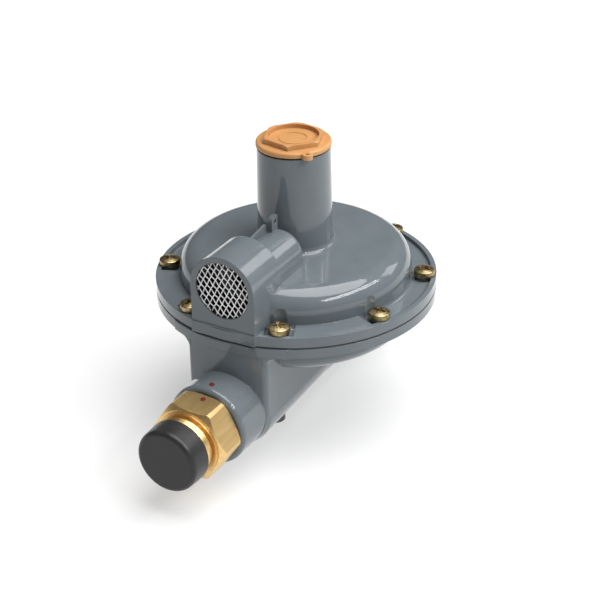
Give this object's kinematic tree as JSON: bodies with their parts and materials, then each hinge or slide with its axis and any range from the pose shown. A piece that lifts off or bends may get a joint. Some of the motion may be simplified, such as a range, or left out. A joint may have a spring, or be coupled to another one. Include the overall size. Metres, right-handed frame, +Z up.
{
  "type": "propane gas regulator",
  "caption": "Low-pressure gas regulator with bolted round casings, a spring tower with sealed cap, a screened vent, a brass inlet nipple under a dust cap and a threaded outlet.",
  "frame": {"origin": "centre of the outlet's mouth, on the pipe's axis", "axes": "+X along the pipe, the way the gas leaves; +Z up the spring tower; +Y to the left, seen along +X"},
  "size_m": [0.1872, 0.125, 0.1317],
  "materials": {
    "grey_paint": "gloss",
    "yellow_zinc": "yellow passivated",
    "orange_plastic": "satin",
    "black_rubber": "matt",
    "black_plastic": "satin",
    "cast_aluminium": "satin",
    "steel": "plain",
    "brass": "turned",
    "bright_mesh": "bright",
    "dark_steel": "satin"
  },
  "bodies": {
    "housing": {"upper_case": "grey_paint", "lower_case": "grey_paint", "case_screws": "yellow_zinc", "screw_washers": "dark_steel", "diaphragm": "black_rubber", "inlet_fitting": "brass", "orifice": "brass", "lever_pin": "steel", "pin_screws": "steel", "vent_screen": "bright_mesh", "test_nipple": "dark_steel", "nipple_screw": "steel"},
    "seal_ring": {"cap_seal": "black_rubber"},
    "cap": {"closing_cap": "orange_plastic"},
    "spring_pack": {"main_spring": "steel"},
    "adjuster": {"adjusting_screw": "cast_aluminium"},
    "post": {"pusher_post": "steel", "relief_spring": "steel", "relief_retainer": "brass"},
    "plate": {"diaphragm_plate": "cast_aluminium"},
    "crank": {"lever": "steel"},
    "valve": {"valve_stem": "brass", "valve_disc": "black_rubber"},
    "dust_cover": {"dust_cap": "black_plastic"}
  },
  "joints": [
    {"name": "cap_turn", "type": "hinge", "parent": "housing", "child": "seal_ring", "pos_m": [-0.078, 0, 0.0987], "axis": [0, 0, 1], "range_deg": [0, 2160]},
    {"name": "cap_rise", "type": "slide", "parent": "seal_ring", "child": "cap", "axis": [0, 0, 1], "range_m": [0, 0.012]},
    {"name": "adjuster_turn", "type": "hinge", "parent": "housing", "child": "spring_pack", "pos_m": [-0.078, 0, 0.0757], "axis": [0, 0, 1], "range_deg": [-1080, 1080]},
    {"name": "adjuster_travel", "type": "slide", "parent": "spring_pack", "child": "adjuster", "axis": [0, 0, 1], "range_m": [-0.006, 0.006], "deforming": ["main_spring"]},
    {"name": "diaphragm_travel", "type": "slide", "parent": "housing", "child": "post", "axis": [0, 0, 1], "range_m": [0, 0.0032], "stiffness_N_per_m": 900, "springref_m": -0.005, "deforming": ["main_spring", "diaphragm"]},
    {"name": "relief_lift", "type": "slide", "parent": "post", "child": "plate", "axis": [0, 0, 1], "range_m": [0, 0.002], "stiffness_N_per_m": 2000, "springref_m": -0.003, "deforming": ["relief_spring", "main_spring", "diaphragm"]},
    {"name": "lever_swing", "type": "hinge", "parent": "housing", "child": "crank", "pos_m": [-0.054, 0, 0.0123], "axis": [0, 1, 0], "range_deg": [0, 8.5]},
    {"name": "valve_slide", "type": "slide", "parent": "housing", "child": "valve", "axis": [-1, 0, 0], "range_m": [0, 0.00165]},
    {"name": "dust_cap_pull", "type": "slide", "parent": "housing", "child": "dust_cover", "axis": [-1, 0, 0], "range_m": [0, 0.05]}
  ],
  "couplings": [
    {"joint": "cap_rise", "follows": "cap_turn", "m_per_rad": 0.0003183},
    {"joint": "adjuster_travel", "follows": "adjuster_turn", "m_per_rad": 0.0003183},
    {"joint": "lever_swing", "follows": "diaphragm_travel", "rad_per_m": 41.667},
    {"joint": "valve_slide", "follows": "diaphragm_travel", "ratio": 0.5125}
  ]
}
